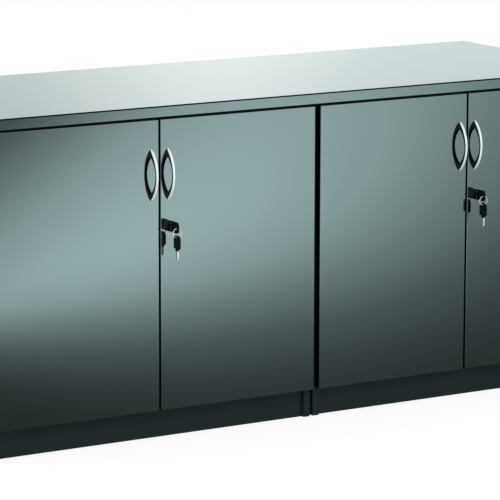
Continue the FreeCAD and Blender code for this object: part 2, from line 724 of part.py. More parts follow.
def key_blade():
    """Steel blade with a pointed tip and a row of cuts along one edge."""
    half = KEY_BLADE_WIDTH / 2
    tip = key_blade_start - KEY_BLADE_LENGTH
    outline = [(-half, key_blade_start, 0), (-half, tip + half, 0), (0, tip, 0), (half, tip + half, 0)]
    for i in range(KEY_CUT_COUNT):
        middle = tip + half + KEY_CUT_PITCH * (i + 0.5)
        depth = KEY_SHALLOW_CUT if i % 2 else KEY_DEEP_CUT
        outline.append((half, middle - KEY_CUT_MOUTH / 2, 0))
        outline.append((half - depth, middle, 0))
        outline.append((half, middle + KEY_CUT_MOUTH / 2, 0))
    outline.append((half, key_blade_start, 0))
    return rounded_prism(outline, "yz", around(0, KEY_BLADE_THICKNESS)).fuse(key_tang())


def in_the_lock(shape):
    """A key's piece turned level and pushed into the lock."""
    turned = shape.copy()
    turned.rotate(Vector(0, 0, 0), Vector(1, 0, 0), QUARTER_TURN)
    turned.translate(Vector(lock_x, key_hole_y, lock_height))
    return turned


def on_the_ring(shape):
    """A spare key's piece hanging from the ring."""
    return shape.translated(Vector(lock_x, key_hole_y, spare_hole_z))


def key_ring():
    """Wire ring that hangs in the hole of the key in the lock."""
    centre = Vector(lock_x, key_hole_y, ring_centre_z)
    return Part.makeTorus(RING_RADIUS, RING_WIRE_RADIUS, centre, Vector(0, 1, 0))


# ---- slide bolts ----


def bolt_bar(radius, low, high):
    """Round bar on the slide bolt's axis."""
    return rod(radius, Vector(bolt_x, bolt_y, low), Vector(bolt_x, bolt_y, high))


def bolt_case():
    """Base plate on the door's back with two bridges that guide the bolt."""
    low = bolt_plate_top - BOLT_PLATE_LENGTH
    plate_rear = door_back + BOLT_PLATE_THICKNESS
    plate = rounded_plate(
        around(bolt_x, BOLT_PLATE_WIDTH),
        (low, bolt_plate_top),
        BOLT_CORNER_RADIUS,
        "xz",
        (door_back, plate_rear),
    )
    bore_radius = BOLT_RADIUS + BOLT_CLEARANCE
    reach = bore_radius + BOLT_GUIDE_WALL
    bridges = []
    for guide_low in (low, bolt_plate_top - BOLT_GUIDE_LENGTH):
        length = (guide_low, guide_low + BOLT_GUIDE_LENGTH)
        corners = [
            (bolt_x - reach, plate_rear, 0),
            (bolt_x + reach, plate_rear, 0),
            (bolt_x + reach, bolt_y + reach, BOLT_CORNER_RADIUS),
            (bolt_x - reach, bolt_y + reach, BOLT_CORNER_RADIUS),
        ]
        bridges.append(rounded_prism(corners, "xy", length))
    return plate.fuse(bridges).cut(bolt_bar(bore_radius, low, bolt_plate_top))


def slide_bolt():
    """Round bolt with its finger knob, drawn back."""
    bolt_low = bolt_top - BOLT_LENGTH
    bar = bolt_bar(BOLT_RADIUS, bolt_low, bolt_top)
    low_guide_top = bolt_plate_top - BOLT_PLATE_LENGTH + BOLT_GUIDE_LENGTH
    high_guide_low = bolt_plate_top - BOLT_GUIDE_LENGTH
    knob_z = (low_guide_top + high_guide_low - BOLT_TRAVEL) / 2
    axis_point = Vector(bolt_x, bolt_y, knob_z)
    knob = rod(BOLT_KNOB_RADIUS, axis_point, axis_point + Vector(0, BOLT_RADIUS + BOLT_KNOB_LENGTH, 0))
    return bar.fuse(knob)


def bolt_strike():
    """Plate under the front rail with the hole that the bolt shoots into."""
    plate = rounded_plate(
        around(bolt_x, STRIKE_WIDTH),
        (0, STRIKE_DEPTH),
        BOLT_CORNER_RADIUS,
        "xy",
        (rail_underside - STRIKE_THICKNESS, rail_underside),
    )
    return plate.cut(bolt_bar(BOLT_RADIUS + STRIKE_HOLE_PLAY, bolt_top, rail_underside))


# ---- worktop ----


def worktop():
    """Full-length top with rounded edges and pilot holes for the rail screws."""
    depth = (worktop_front, worktop_front + WORKTOP_DEPTH)
    board = block(around(0, WORKTOP_LENGTH), depth, (worktop_underside, OVERALL_HEIGHT))
    board = board.makeFillet(WORKTOP_EDGE_RADIUS, board.Edges)
    pilots = []
    for origin in cupboard_origins.values():
        for x, y in rail_screw_places():
            mouth = origin + Vector(x, y, worktop_underside)
            pilots.append(rod(RAIL_SCREW_RADIUS, mouth, mouth + Vector(0, 0, RAIL_SCREW_BITE)))
    return board.cut(pilots)


# ---- the whole, one node for each kind of piece on each moving body ----


def both_hands(shapes):
    """Pieces of the left door of a pair and of the right one."""
    return shapes + [mirrored(shape) for shape in shapes]


def cupboard_nodes(side_name):
    """Boards of one cupboard."""
    return {
        side_name + "_cupboard_left_side": [side()],
        side_name + "_cupboard_right_side": [mirrored(side())],
        side_name + "_cupboard_bottom": [bottom_panel()],
        side_name + "_cupboard_back": [back_panel()],
        side_name + "_cupboard_plinth": plinth_boards(),
        side_name + "_cupboard_rails": top_rails(),
        side_name + "_cupboard_shelf": [shelf()],
    }


def shared_fittings():
    """Fittings that every cupboard has in the same places."""
    return {
        "shelf_pegs": shelf_pegs(),
        "rail_screws": rail_screws(),
        "bolt_strikes": [bolt_strike()],
        "door_buffers": both_hands(buffers()),
        "hinge_plates": both_hands([hinge_plate(z) for z in hinge_heights]),
        "hinge_arms": both_hands([hinge_arm(z) for z in hinge_heights]),
        "hinge_pins": both_hands([pin_bar(z, HINGE_PIN_RADIUS) for z in hinge_heights]),
    }


def door_nodes(has_lock):
    """Pieces of a door hung on the left, with a lock or a slide bolt."""
    nodes = {
        "panel": [door_panel(has_lock)],
        "handle": [bow_handle()],
        "handle_screws": [handle_screw(z) for z in handle_screw_heights()],
        "hinge_cups": [hinge_cup(z) for z in hinge_heights],
    }
    if has_lock:
        nodes.update(
            {
                "lock_case": [lock_case()],
                "lock_nut": [lock_nut()],
                "lock_plug": [lock_plug()],
                "lock_cam": [lock_cam()],
                "key_head": [in_the_lock(key_head())],
                "key_blade": [in_the_lock(key_blade())],
                "key_ring": [key_ring()],
                "spare_key_head": [on_the_ring(key_head())],
                "spare_key_blade": [on_the_ring(key_blade())],
            }
        )
    else:
        nodes.update({"bolt_case": [bolt_case()], "bolt": [slide_bolt()]})
    return nodes


def all_nodes():
    """Every node in the object's own frame."""
    nodes = {"worktop": [worktop()]}
    door_number = 0
    for cupboard, origin in cupboard_origins.items():
        for name, shapes in cupboard_nodes(cupboard).items():
            nodes[name] = [shape.translated(origin) for shape in shapes]
        for name, shapes in shared_fittings().items():
            nodes.setdefault(name, []).extend(shape.translated(origin) for shape in shapes)
        for has_lock in (False, True):
            door_number += 1
            for piece, shapes in door_nodes(has_lock).items():
                handed = [mirrored(shape) for shape in shapes] if has_lock else shapes
                nodes[f"door_{door_number}_{piece}"] = [shape.translated(origin) for shape in handed]
    return nodes


os.makedirs("parts", exist_ok=True)
for node, solids in all_nodes().items():
    shape = solids[0] if len(solids) == 1 else Part.makeCompound(solids)
    shape.exportStep(os.path.join("parts", node + ".step"))
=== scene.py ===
"""Looks of the office credenza: finishes, small fittings, studio light and camera.

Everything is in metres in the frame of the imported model: +X to the right as seen from the
front, +Y to the back, +Z up, with the origin on the floor.
"""

from __future__ import annotations

import logging
import math
from dataclasses import dataclass, field, replace
from enum import Enum
from functools import cached_property
from typing import Any, Iterable, Sequence

import bmesh
import bpy
import numpy as np
from mathutils import Matrix, Vector

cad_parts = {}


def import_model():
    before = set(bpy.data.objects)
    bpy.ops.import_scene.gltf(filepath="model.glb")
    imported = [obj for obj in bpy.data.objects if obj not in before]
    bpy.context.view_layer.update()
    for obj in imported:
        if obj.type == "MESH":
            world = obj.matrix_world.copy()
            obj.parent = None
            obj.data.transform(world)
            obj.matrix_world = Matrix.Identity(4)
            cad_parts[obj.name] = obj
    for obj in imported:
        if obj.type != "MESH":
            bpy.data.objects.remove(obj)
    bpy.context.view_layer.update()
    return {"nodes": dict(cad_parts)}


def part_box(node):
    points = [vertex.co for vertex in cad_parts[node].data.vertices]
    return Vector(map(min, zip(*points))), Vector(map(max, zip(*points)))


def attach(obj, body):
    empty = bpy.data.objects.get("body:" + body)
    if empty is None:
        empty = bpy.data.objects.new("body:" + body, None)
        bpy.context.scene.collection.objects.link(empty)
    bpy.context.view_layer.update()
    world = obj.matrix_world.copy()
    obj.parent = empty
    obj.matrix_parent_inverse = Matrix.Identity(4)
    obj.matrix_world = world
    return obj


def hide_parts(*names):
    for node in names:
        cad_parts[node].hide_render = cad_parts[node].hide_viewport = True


log = logging.getLogger("credenza")

Socket = bpy.types.NodeSocket

MM = 0.001
FRAME_WIDTH_PX = 500
SENSOR_WIDTH_MM = 36.0
MERGE_DISTANCE = 1e-6
WHITE = (1.0, 1.0, 1.0, 1.0)
ORIGIN = (0.0, 0.0, 0.0)


class Face(Enum):
    """Direction a screw's head looks in."""

    BACK = (0.0, 1.0, 0.0)
    DOWN = (0.0, 0.0, -1.0)
    RIGHT = (1.0, 0.0, 0.0)
    LEFT = (-1.0, 0.0, 0.0)


# ---- node trees ----


@dataclass
class Tree:
    """A node tree with short ways to add and join nodes."""

    nodes: bpy.types.Nodes
    links: bpy.types.NodeLinks

    def add(self, kind: str, values: dict[str, Any] | None = None, **options: Any) -> bpy.types.Node:
        """Adds a node.

        Args:
            kind: Blender's name for the node, without "ShaderNode".
            values: input values, or sockets to join, by the input's name or number.
            options: settings of the node itself.

        Returns:
            The new node.
        """
        node = self.nodes.new("ShaderNode" + kind)
        for name, value in options.items():
            setattr(node, name, value)
        for name, value in (values or {}).items():
            self.put(node.inputs[name], value)
        return node

    def put(self, socket: Socket, value: Any) -> None:
        """Joins a socket to an output, or sets its value."""
        if isinstance(value, Socket):
            self.links.new(value, socket)
        else:
            socket.default_value = value

    def math(self, operation: str, *terms: Any) -> Socket:
        """Result of a Math node on numbers or sockets."""
        return self.add("Math", dict(enumerate(terms)), operation=operation).outputs[0]

    def soft_step(self, value: Any, half_width: float) -> Socket:
        """Rises smoothly from 0 to 1 as value goes from minus to plus half_width."""
        ramp = self.add(
            "MapRange",
            {"Value": value, "From Min": -half_width, "From Max": half_width},
            interpolation_type="SMOOTHERSTEP",
        )
        return ramp.outputs["Result"]

    def logistic(self, value: Any, width: Any) -> Socket:
        """Smooth rise 1 / (1 + e^(-value / width)), with no end on either side."""
        share = self.math("DIVIDE", value, width)
        falling = self.math("POWER", math.e, self.math("MULTIPLY", share, -1.0))
        return self.math("DIVIDE", 1.0, self.math("ADD", falling, 1.0))

    def noise(self, point: Any, scale: Any, detail: float) -> Socket:
        """Value of a noise texture."""
        return self.add("TexNoise", {"Vector": point, "Scale": scale, "Detail": detail}).outputs[0]

    def light(self, kind: str, strength: Any, colour: Any = WHITE) -> Socket:
        """Even light: an Emission in a material, a Background in a world."""
        return self.add(kind, {"Color": colour, "Strength": strength}).outputs[0]

    def by_ray(self, matt: Any, gloss: Any, camera: Any) -> Socket:
        """Shader that depends on the kind of ray.

        Args:
            matt: what matt surfaces get.
            gloss: what mirror images and glass show.
            camera: what the camera sees.

        Returns:
            The shader.
        """
        rays = self.add("LightPath").outputs
        reflected = self.math("MAXIMUM", rays["Is Glossy Ray"], rays["Is Transmission Ray"])
        indirect = self.add("MixShader", {0: reflected, 1: matt, 2: gloss}).outputs[0]
        return self.add("MixShader", {0: rays["Is Camera Ray"], 1: indirect, 2: camera}).outputs[0]


@dataclass(frozen=True)
class Band:
    """A smooth change about a middle value, from half below it to half above it."""

    middle: float
    half: float

    def rise(self, tree: Tree, value: Any) -> Socket:
        """Goes from 0 to 1 as value grows through the band."""
        return tree.soft_step(tree.math("SUBTRACT", value, self.middle), self.half)

    def fall(self, tree: Tree, value: Any) -> Socket:
        """Goes from 1 to 0 as value grows through the band."""
        return tree.soft_step(tree.math("SUBTRACT", self.middle, value), self.half)


@dataclass(frozen=True)
class Line:
    """A number that changes evenly over the floor.

    Formula: per_across * x + per_forward * f + start, with x across and f forward in metres.
    """

    per_across: float
    per_forward: float
    start: float

    def value(self, tree: Tree, across: Any, forward: Any) -> Socket:
        """The line's number at a place."""
        inner = tree.math("MULTIPLY_ADD", forward, self.per_forward, self.start)
        return tree.math("MULTIPLY_ADD", across, self.per_across, inner)


def blank_tree(owner: bpy.types.Material | bpy.types.World) -> Tree:
    """Clears a material's or world's nodes and gives its tree."""
    owner.use_nodes = True
    owner.node_tree.nodes.clear()
    return Tree(owner.node_tree.nodes, owner.node_tree.links)


def socket_type(default: Any) -> str:
    """Type of a node group's socket by its default: a number, a colour of four or a vector."""
    if isinstance(default, float):
        return "NodeSocketFloat"
    return "NodeSocketColor" if len(default) == 4 else "NodeSocketVector"


@dataclass
class Effect:
    """A shader node group that several finishes share, built once.

    Fields:
        name: the group's name.
        inputs: default of each input by its name.
        output: name of the output, and a value of its type.
    """

    name: str
    inputs: dict[str, Any]
    output: tuple[str, Any]
    group: bpy.types.NodeTree | None = field(default=None, init=False)

    def build(self) -> tuple[Tree, bpy.types.NodeOutputs, Socket]:
        """Makes the empty group.

        Returns:
            Its tree, the sockets that its inputs come from, and the socket its output goes to.
        """
        self.group = bpy.data.node_groups.new(self.name, "ShaderNodeTree")
        sockets = self.group.interface
        for name, default in self.inputs.items():
            entry = sockets.new_socket(name, in_out="INPUT", socket_type=socket_type(default))
            entry.default_value = default
        name, value = self.output
        sockets.new_socket(name, in_out="OUTPUT", socket_type=socket_type(value))
        tree = Tree(self.group.nodes, self.group.links)
        source = tree.nodes.new("NodeGroupInput").outputs
        return tree, source, tree.nodes.new("NodeGroupOutput").inputs[name]

    def place(self, tree: Tree, **values: Any) -> Socket:
        """Puts the group into a material's tree with its own values, and gives its output."""
        node = tree.nodes.new("ShaderNodeGroup")
        node.node_tree = self.group
        for name, value in values.items():
            tree.put(node.inputs[name], value)
        return node.outputs[0]


@dataclass
class Effects:
    """The shared effects, each built once, when a finish first asks for it.

    Fields:
        wide_share, wiped_share: shares of wide noise and of wiping marks in the haze.
        wiping_stretch: how the wiping marks are squeezed along X, Y and Z.
        drift_scale, dust_scale: fineness of the colour's drift and of the dust, per metre.
        dust_grey: the dust's colour.
        arris_tilt, flat_tilt: upward part of the normal where an arris begins, and where it ends.
        shade_line_half: half the height over which the painted shade line sets in.
        flank_tilt: taken off the sideways part of the normal before it counts as looking back.
        backward: backward part of the normal about which painted shade sets in on a face.
    """

    wide_share: float = 0.65
    wiped_share: float = 0.35
    wiping_stretch: tuple[float, float, float] = (9.0, 9.0, 1.2)
    drift_scale: float = 3.5
    dust_scale: float = 160.0
    dust_grey: tuple[float, float, float, float] = (0.55, 0.54, 0.52, 1.0)
    arris_tilt: Band = Band(0.08, 0.06)
    flat_tilt: Band = Band(0.992, 0.007)
    shade_line_half: float = 0.2 * MM
    flank_tilt: float = 0.75
    backward: Band = Band(-0.025, 0.125)

    @cached_property
    def haze(self) -> Effect:
        """Slow drift and faint wiping marks between two roughness values.

        Formula: low + (high - low) * (wide share * noise + wiped share * noise drawn out along Z).
        """
        inputs = {"Point": ORIGIN, "Scale": 6.0, "Low": 0.05, "High": 0.1}
        effect = Effect("wiping_haze", inputs, ("Roughness", 0.0))
        tree, source, result = effect.build()
        point, scale = source["Point"], source["Scale"]
        stretch = tree.add("Mapping", {"Vector": point, "Scale": self.wiping_stretch})
        wiped = tree.noise(stretch.outputs[0], scale, detail=2.0)
        broad = tree.math("MULTIPLY", tree.noise(point, scale, detail=3.0), self.wide_share)
        share = tree.math("MULTIPLY_ADD", wiped, self.wiped_share, broad)
        span = tree.math("SUBTRACT", source["High"], source["Low"])
        tree.put(result, tree.math("MULTIPLY_ADD", share, span, source["Low"]))
        return effect

    @cached_property
    def grain(self) -> Effect:
        """Fine relief, as the normal of a bumpy surface.

        Formula: the normal of a bump whose height is noise(point * stretch * scale).
        """
        inputs = {
            "Point": ORIGIN,
            "Stretch": (1.0, 1.0, 1.0),
            "Scale": 800.0,
            "Strength": 0.1,
            "Depth": 0.1 * MM,
        }
        effect = Effect("fine_relief", inputs, ("Normal", ORIGIN))
        tree, source, result = effect.build()
        stretched = tree.add("VectorMath", {0: source["Point"], 1: source["Stretch"]}, operation="MULTIPLY")
        noise = tree.noise(stretched.outputs[0], source["Scale"], detail=4.0)
        relief = tree.add(
            "Bump", {"Height": noise, "Strength": source["Strength"], "Distance": source["Depth"]}
        )
        tree.put(result, relief.outputs[0])
        return effect

    @cached_property
    def dust(self) -> Effect:
        """Colour with a slow drift, and a little dust where a face looks up.

        Formula: colour * (1 + drift * (slow noise - 0.5)), mixed towards the dust's grey by
        dust * max(normal z, 0) * fine noise.
        """
        inputs = {"Point": ORIGIN, "Color": WHITE, "Drift": 0.1, "Dust": 0.0}
        effect = Effect("drift_and_dust", inputs, ("Color", WHITE))
        tree, source, result = effect.build()
        point = source["Point"]
        centred = tree.math("SUBTRACT", tree.noise(point, self.drift_scale, detail=5.0), 0.5)
        factor = tree.math("MULTIPLY_ADD", centred, source["Drift"], 1.0)
        shaded = tree.add("VectorMath", {0: source["Color"], "Scale": factor}, operation="SCALE")
        up = tree.add("SeparateXYZ", {0: tree.add("NewGeometry").outputs["Normal"]}).outputs["Z"]
        fine = tree.noise(point, self.dust_scale, detail=3.0)
        lying = tree.math("MULTIPLY", tree.math("MAXIMUM", up, 0.0), fine)
        amount = tree.math("MULTIPLY", lying, source["Dust"])
        mixed = tree.add("Mix", {"Factor": amount}, data_type="RGBA")
        clean, dusty = (s for s in mixed.inputs if s.name in ("A", "B") and s.type == "RGBA")
        tree.put(clean, shaded.outputs[0])
        tree.put(dusty, self.dust_grey)
        tree.put(result, next(s for s in mixed.outputs if s.type == "RGBA"))
        return effect

    @cached_property
    def sides(self) -> Effect:
        """Colour darkened by painted shade along rounded arrises and on upright faces above a given height,
        standing in for a dark reflection, and on faces that don't look forward, standing in for the shade
        between a part and the door.

        Formula: with n the outward direction, arris = the larger of rise(|n z| through the arris
        tilt) and rise(z about the shade line height), times fall(|n z| through the flat tilt), and back =
        rise(the larger of n y and |n x| - flank tilt, through the backward band); the colour is
        multiplied by 1 - arris * its depth, and by 1 - back * its depth, both of them painted shade.
        """
        inputs = {"Point": ORIGIN, "Normal": ORIGIN, "Color": WHITE, "Arris": 0.0, "Shade Line": 0.0, "Back": 0.0}
        effect = Effect("arris_and_back_shade", inputs, ("Color", WHITE))
        tree, source, result = effect.build()
        out = tree.add("SeparateXYZ", {0: source["Normal"]}).outputs
        steep = tree.math("ABSOLUTE", out["Z"])
        rise = self.arris_tilt.rise(tree, steep)
        fall = self.flat_tilt.fall(tree, steep)
        height = tree.add("SeparateXYZ", {0: source["Point"]}).outputs["Z"]
        joint = tree.soft_step(tree.math("SUBTRACT", height, source["Shade Line"]), self.shade_line_half)
        edge = tree.math("MAXIMUM", rise, joint)
        # Painted shade along the arrises and above the shade line.
        arris = tree.math("MULTIPLY", tree.math("MULTIPLY", edge, fall), source["Arris"])
        flank = tree.math("SUBTRACT", tree.math("ABSOLUTE", out["X"]), self.flank_tilt)
        # Painted shade on faces that look back or sideways.
        away = self.backward.rise(tree, tree.math("MAXIMUM", out["Y"], flank))
        back = tree.math("MULTIPLY", away, source["Back"])
        kept = tree.math("MULTIPLY", tree.math("SUBTRACT", 1.0, arris), tree.math("SUBTRACT", 1.0, back))
        shaded = tree.add("VectorMath", {0: source["Color"], "Scale": kept}, operation="SCALE")
        tree.put(result, shaded.outputs[0])
        return effect


# ---- finishes ----


@dataclass(frozen=True)
class Finish:
    """A surface finish.

    Fields:
        name: the material's name.
        slot: the record's material slot that it stands for; not used.
        colour: base colour, linear RGB.
        metallic: 1 for full metal and for metallic lacquer, less for a paler, softer metal.
        roughness: lowest and highest roughness.
        haze_scale, relief_scale: fineness of the roughness pattern and the relief, per metre.
        relief_stretch, relief_strength: the relief's stretch along X, Y and Z, and its strength.
        drift, dust: share by which the colour wanders, and of dust on faces that look up.
        arris: how much painted shade darkens rounded horizontal arrises, standing in for their dark
            reflection.
        joint: height in metres above which upright faces get as much painted shade, by default over every
            piece.
        back: how much painted shade darkens the sides and the back of a bar, where shade falls towards the
            door.
        specular: specular level of what isn't metal.
    """

    name: str
    slot: str
    colour: tuple[float, float, float]
    metallic: float
    roughness: tuple[float, float]
    haze_scale: float = 5.0
    relief_scale: float = 900.0
    relief_stretch: tuple[float, float, float] = (1.0, 1.0, 1.0)
    relief_strength: float = 0.0
    drift: float = 0.06
    dust: float = 0.0
    arris: float = 0.0
    joint: float = 10.0
    back: float = 0.0
    specular: float = 0.5

    def build(self, effects: Effects) -> bpy.types.Material:
        """Makes the material from the shared effects.

        Args:
            effects: the shared node groups.

        Returns:
            The material.
        """
        material = bpy.data.materials.new(self.name)
        tree = blank_tree(material)
        own = tree.add("TexCoord").outputs
        point = own["Object"]
        colour = effects.dust.place(
            tree, Point=point, Color=(*self.colour, 1.0), Drift=self.drift, Dust=self.dust
        )
        # Painted shade on arrises, above the shade line, and on faces that look back.
        if self.arris > 0 or self.back > 0:
            masks = {"Arris": self.arris, "Shade Line": self.joint, "Back": self.back}
            colour = effects.sides.place(tree, Point=point, Normal=own["Normal"], Color=colour, **masks)
        low, high = self.roughness
        haze = effects.haze.place(tree, Point=point, Scale=self.haze_scale, Low=low, High=high)
        values = {"Base Color": colour, "Metallic": self.metallic, "Roughness": haze}
        values["Specular IOR Level"] = self.specular
        if self.relief_strength > 0:
            values["Normal"] = effects.grain.place(
                tree,
                Point=point,
                Stretch=self.relief_stretch,
                Scale=self.relief_scale,
                Strength=self.relief_strength,
            )
        shader = tree.add("BsdfPrincipled", values).outputs[0]
        tree.add("OutputMaterial", {"Surface": shader})
        return material


GLOSS_GRAPHITE = Finish(
    "gloss_graphite_lacquer",
    "gloss_board",
    (0.279, 0.385, 0.385),
    1.0,
    (0.045, 0.085),
    haze_scale=3.0,
    relief_scale=60.0,
    relief_strength=0.01,
    drift=0.03,
)
# Worktop finish: painted shade darkens its rounded arrises, standing in for their dark reflection.
ARRIS_SHADED_GRAPHITE = replace(GLOSS_GRAPHITE, name="gloss_graphite_painted_arris_shade", arris=0.97)
SATIN_GRAPHITE = Finish(
    "satin_graphite_melamine",
    "carcass_board",
    (0.0085, 0.018, 0.0205),
    0.0,
    (0.38, 0.5),
    relief_scale=1400.0,
    relief_strength=0.12,
    drift=0.2,
    dust=0.02,
    specular=0.35,
)
SATIN_SILVER = Finish(
    "satin_silver_handle",
    "handle_metal",
    (0.72, 0.81, 0.8),
    0.15,
    (0.24, 0.34),
    haze_scale=40.0,
    relief_stretch=(6.0, 6.0, 0.4),
    relief_strength=0.04,
    drift=0.03,
    # Painted shade on the handle's faces that look towards the door and sideways.
    back=0.99,
    specular=0.15,
)
BRIGHT_NICKEL = Finish(
    "bright_nickel",
    "lock_nickel",
    (0.88, 0.9, 0.89),
    1.0,
    (0.1, 0.2),
    haze_scale=90.0,
    relief_scale=1500.0,
    relief_strength=0.03,
)
RING_NICKEL = replace(
    BRIGHT_NICKEL, name="ring_nickel", colour=(0.9, 0.98, 0.97), metallic=0.35, roughness=(0.15, 0.25)
)
# Painted shade on the back of the key blades, towards the door.
KEY_NICKEL = replace(RING_NICKEL, name="key_nickel", metallic=0.2, roughness=(0.2, 0.3), back=0.75)
SMOKED_NICKEL = replace(BRIGHT_NICKEL, name="smoked_nickel", colour=(0.24, 0.26, 0.26))
BLACK_NICKEL = replace(
    BRIGHT_NICKEL,
    name="black_nickel",
    slot="lock_black",
    colour=(0.03, 0.032, 0.034),
    roughness=(0.16, 0.26),
)
BLACK_MOULDING = Finish(
    "black_key_moulding",
    "key_plastic",
    (0.003, 0.0035, 0.004),
    0.0,
    (0.3, 0.4),
    haze_scale=60.0,
    relief_scale=2600.0,
    relief_strength=0.15,
    drift=0.1,
    specular=0.12,
)
PLATED_STEEL = Finish(
    "plated_fitting_steel",
    "fitting_steel",
    (0.62, 0.63, 0.63),
    0.75,
    (0.26, 0.38),
    haze_scale=50.0,
    relief_scale=1200.0,
    relief_stretch=(1.0, 5.0, 1.0),
    relief_strength=0.05,
    drift=0.08,
)
SOFT_BUFFER = Finish(
    "soft_clear_buffer",
    "buffer_plastic",
    (0.6, 0.62, 0.62),
    0.0,
    (0.3, 0.4),
    haze_scale=80.0,
    drift=0.05,
)


@dataclass
class PaintShop:
    """Mixes each finish once, when a piece first asks for it.

    Fields:
        effects: the shared node groups.
        mixed: the materials by finish.
    """

    effects: Effects
    mixed: dict[Finish, bpy.types.Material] = field(default_factory=dict)

    def material(self, finish: Finish) -> bpy.types.Material:
        """The finish's material."""
        if finish not in self.mixed:
            self.mixed[finish] = finish.build(self.effects)
        return self.mixed[finish]


# ---- surfaces ----


def grid_quads(rows: int, columns: int, closed_u: bool, closed_v: bool) -> np.ndarray:
    """Faces of a grid of points.

    Formula: quad (i, j) joins points (i, j), (i+1, j), (i+1, j+1), (i, j+1), with the indices
    taken round where the grid is closed.

    Args:
        rows: points along the first parameter.
        columns: points along the second parameter.
        closed_u: whether the last row joins the first.
        closed_v: whether the last column joins the first.

    Returns:
        Vertex numbers of the quads, shape (n, 4).
    """
    firsts = np.arange(rows if closed_u else rows - 1)
    seconds = np.arange(columns if closed_v else columns - 1)
    i, j = np.meshgrid(firsts, seconds, indexing="ij")
    after_i, after_j = (i + 1) % rows, (j + 1) % columns
    corners = [i * columns + j, after_i * columns + j, after_i * columns + after_j, i * columns + after_j]
    return np.stack(corners, axis=-1).reshape(-1, 4)


def mesh_object(name: str, vertices: np.ndarray, quads: np.ndarray, solid: bool = True) -> bpy.types.Object:
    """Object from arrays of vertices and four-cornered faces, shaded smooth.

    Args:
        name: the object's name.
        vertices: places of the vertices, shape (n, 3).
        quads: vertex numbers of the faces, shape (m, 4).
        solid: whether it is a closed skin, which has its poles merged and its faces turned outwards.

    Returns:
        The object, at the origin.
    """
    mesh = bpy.data.meshes.new(name)
    mesh.vertices.add(len(vertices))
    mesh.vertices.foreach_set("co", vertices.astype(np.float32).ravel())
    mesh.loops.add(quads.size)
    mesh.loops.foreach_set("vertex_index", quads.astype(np.int32).ravel())
    mesh.polygons.add(len(quads))
    mesh.polygons.foreach_set("loop_start", np.arange(0, quads.size, 4, dtype=np.int32))
    mesh.update(calc_edges=True)
    if solid:
        skin = bmesh.new()
        skin.from_mesh(mesh)
        bmesh.ops.remove_doubles(skin, verts=skin.verts, dist=MERGE_DISTANCE)
        bmesh.ops.recalc_face_normals(skin, faces=skin.faces)
        skin.to_mesh(mesh)
        skin.free()
    mesh.polygons.foreach_set("use_smooth", np.ones(len(mesh.polygons), dtype=bool))
    mesh.update()
    piece = bpy.data.objects.new(name, mesh)
    bpy.context.scene.collection.objects.link(piece)
    return piece


def tube(path: np.ndarray, radius: float, sides: int) -> np.ndarray:
    """Round tube along an open path, closed to a point at both ends.

    Formula: each ring is centre + radius * (cos a * n + sin a * b), where n is the part of the
    steady direction +Y square to the path and b is square to both. The end rings shrink to
    their centres.

    Args:
        path: points of the path, shape (n, 3).
        radius: the tube's radius.
        sides: points round a ring.

    Returns:
        Grid of points of shape (n + 2, sides, 3), for a grid closed round its columns.
    """
    tangent = np.gradient(path, axis=0)
    tangent /= np.linalg.norm(tangent, axis=1, keepdims=True)
    steady = np.array([0.0, 1.0, 0.0])
    normal = steady - tangent * (tangent @ steady)[:, None]
    normal /= np.linalg.norm(normal, axis=1, keepdims=True)
    binormal = np.cross(tangent, normal)
    angle = np.linspace(0, 2 * math.pi, sides, endpoint=False)
    rings = path[:, None] + radius * (
        np.cos(angle)[None, :, None] * normal[:, None] + np.sin(angle)[None, :, None] * binormal[:, None]
    )
    ends = [np.repeat(path[k][None, None], sides, axis=1) for k in (0, -1)]
    return np.concatenate([ends[0], rings, ends[1]], axis=0)


# ---- sub-assemblies ----


@dataclass
class Assembly:
    """What every sub-assembly shares.

    Fields:
        nodes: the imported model's objects by name.
        paints: where the materials come from.
    """

    nodes: dict[str, bpy.types.Object]
    paints: PaintShop

    def dress(self, names: Iterable[str], finish: Finish) -> None:
        """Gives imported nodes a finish."""
        for name in names:
            node = self.nodes[name]
            node.data.materials.clear()
            node.data.materials.append(self.paints.material(finish))
            log.info("node %s: %s", name, finish.name)

    def finish_piece(self, piece: bpy.types.Object, finish: Finish, body: str) -> None:
        """Gives a new piece its finish and the body it rides on."""
        piece.data.materials.append(self.paints.material(finish))
        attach(piece, body)
        log.info("piece %s: %s on %s", piece.name, finish.name, body)

    def add_screws(self, screw: ScrewHead, name: str, places: Sequence[Any], face: Face, body: str) -> None:
        """Adds heads at places, looking one way, on the body they ride on."""
        self.finish_piece(screw.heads(name, np.array(places), face), PLATED_STEEL, body)


